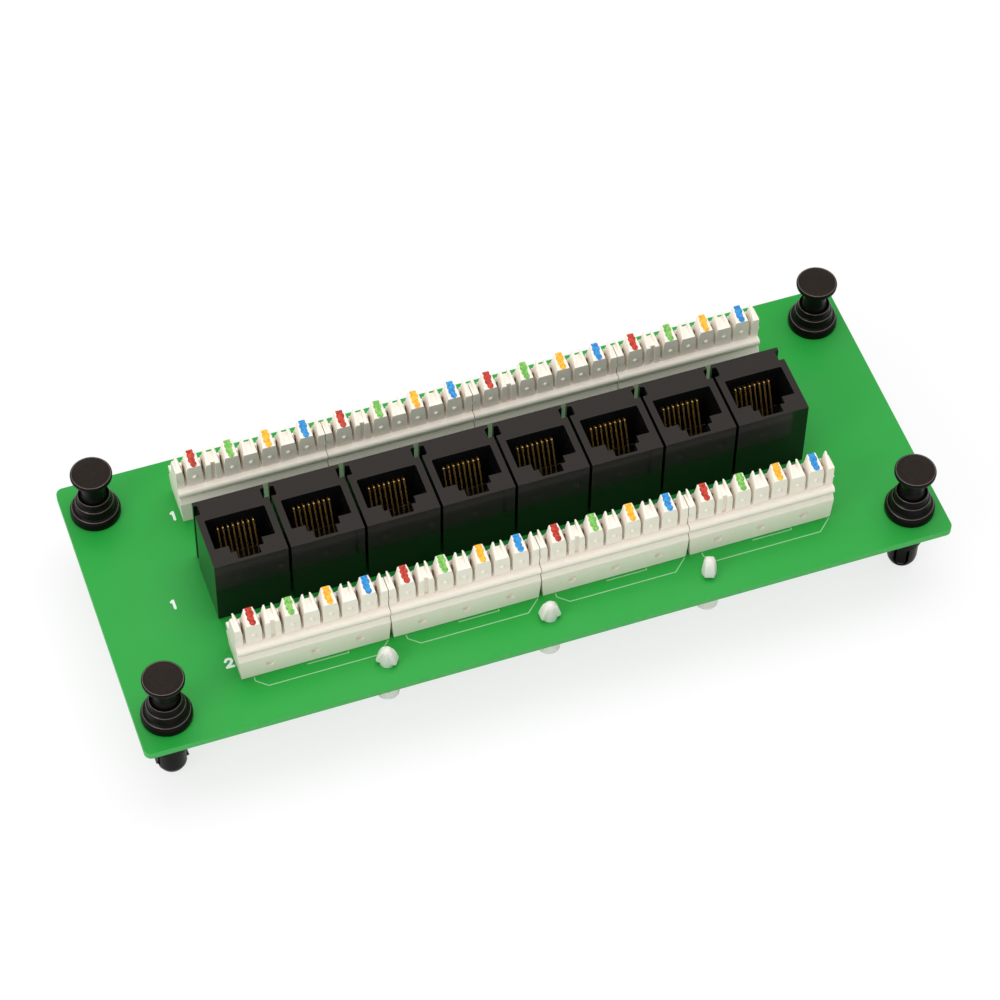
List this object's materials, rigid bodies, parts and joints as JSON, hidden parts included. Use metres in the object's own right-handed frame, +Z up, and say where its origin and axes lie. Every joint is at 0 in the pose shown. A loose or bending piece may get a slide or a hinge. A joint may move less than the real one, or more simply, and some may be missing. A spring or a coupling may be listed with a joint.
{
  "type": "ethernet socket module",
  "caption": "Circuit board with a row of top-entry modular sockets between two rows of punch-down blocks, held by push-and-pull corner latches.",
  "frame": {"origin": "under the centre of the board, on the surface that the four latch tips stand on", "axes": "+Z up, the way the sockets open; +X along the board; -Y is the side with the three supports, where the sockets' latch ways are"},
  "size_m": [0.165, 0.066, 0.0338],
  "materials": {
    "board_green": "green solder mask over laminate, satin",
    "socket_black": "moulded black, satin with a fine grain on top",
    "contact_gold": "gold plated, bright",
    "block_white": "warm white moulded plastic",
    "blade_bronze": "tinned bronze, dull",
    "latch_black": "black nylon, satin",
    "support_nylon": "natural nylon, slightly translucent"
  },
  "bodies": {
    "module": {"circuit_board": "board_green", "socket_housing_1": "socket_black", "socket_contacts_1": "contact_gold", "socket_housing_2": "socket_black", "socket_contacts_2": "contact_gold", "socket_housing_3": "socket_black", "socket_contacts_3": "contact_gold", "socket_housing_4": "socket_black", "socket_contacts_4": "contact_gold", "socket_housing_5": "socket_black", "socket_contacts_5": "contact_gold", "socket_housing_6": "socket_black", "socket_contacts_6": "contact_gold", "socket_housing_7": "socket_black", "socket_contacts_7": "contact_gold", "socket_housing_8": "socket_black", "socket_contacts_8": "contact_gold", "block_base_front_1": "block_white", "block_cap_front_1": "block_white", "block_contacts_front_1": "blade_bronze", "block_base_front_2": "block_white", "block_cap_front_2": "block_white", "block_contacts_front_2": "blade_bronze", "block_base_front_3": "block_white", "block_cap_front_3": "block_white", "block_contacts_front_3": "blade_bronze", "block_base_front_4": "block_white", "block_cap_front_4": "block_white", "block_contacts_front_4": "blade_bronze", "block_base_rear_1": "block_white", "block_cap_rear_1": "block_white", "block_contacts_rear_1": "blade_bronze", "block_base_rear_2": "block_white", "block_cap_rear_2": "block_white", "block_contacts_rear_2": "blade_bronze", "block_base_rear_3": "block_white", "block_cap_rear_3": "block_white", "block_contacts_rear_3": "blade_bronze", "block_base_rear_4": "block_white", "block_cap_rear_4": "block_white", "block_contacts_rear_4": "blade_bronze", "latch_body_rear_left": "latch_black", "latch_body_rear_right": "latch_black", "latch_body_front_left": "latch_black", "latch_body_front_right": "latch_black", "board_support_1": "support_nylon", "board_support_2": "support_nylon", "board_support_3": "support_nylon"},
    "pin_rear_left": {"latch_pin_rear_left": "latch_black"},
    "pin_rear_right": {"latch_pin_rear_right": "latch_black"},
    "pin_front_left": {"latch_pin_front_left": "latch_black"},
    "pin_front_right": {"latch_pin_front_right": "latch_black"}
  },
  "joints": [
    {"name": "pin_slide_rear_left", "type": "slide", "parent": "module", "child": "pin_rear_left", "axis": [0, 0, -1], "range_m": [0, 0.0047]},
    {"name": "pin_slide_rear_right", "type": "slide", "parent": "module", "child": "pin_rear_right", "axis": [0, 0, -1], "range_m": [0, 0.0047]},
    {"name": "pin_slide_front_left", "type": "slide", "parent": "module", "child": "pin_front_left", "axis": [0, 0, -1], "range_m": [0, 0.0047]},
    {"name": "pin_slide_front_right", "type": "slide", "parent": "module", "child": "pin_front_right", "axis": [0, 0, -1], "range_m": [0, 0.0047]}
  ]
}
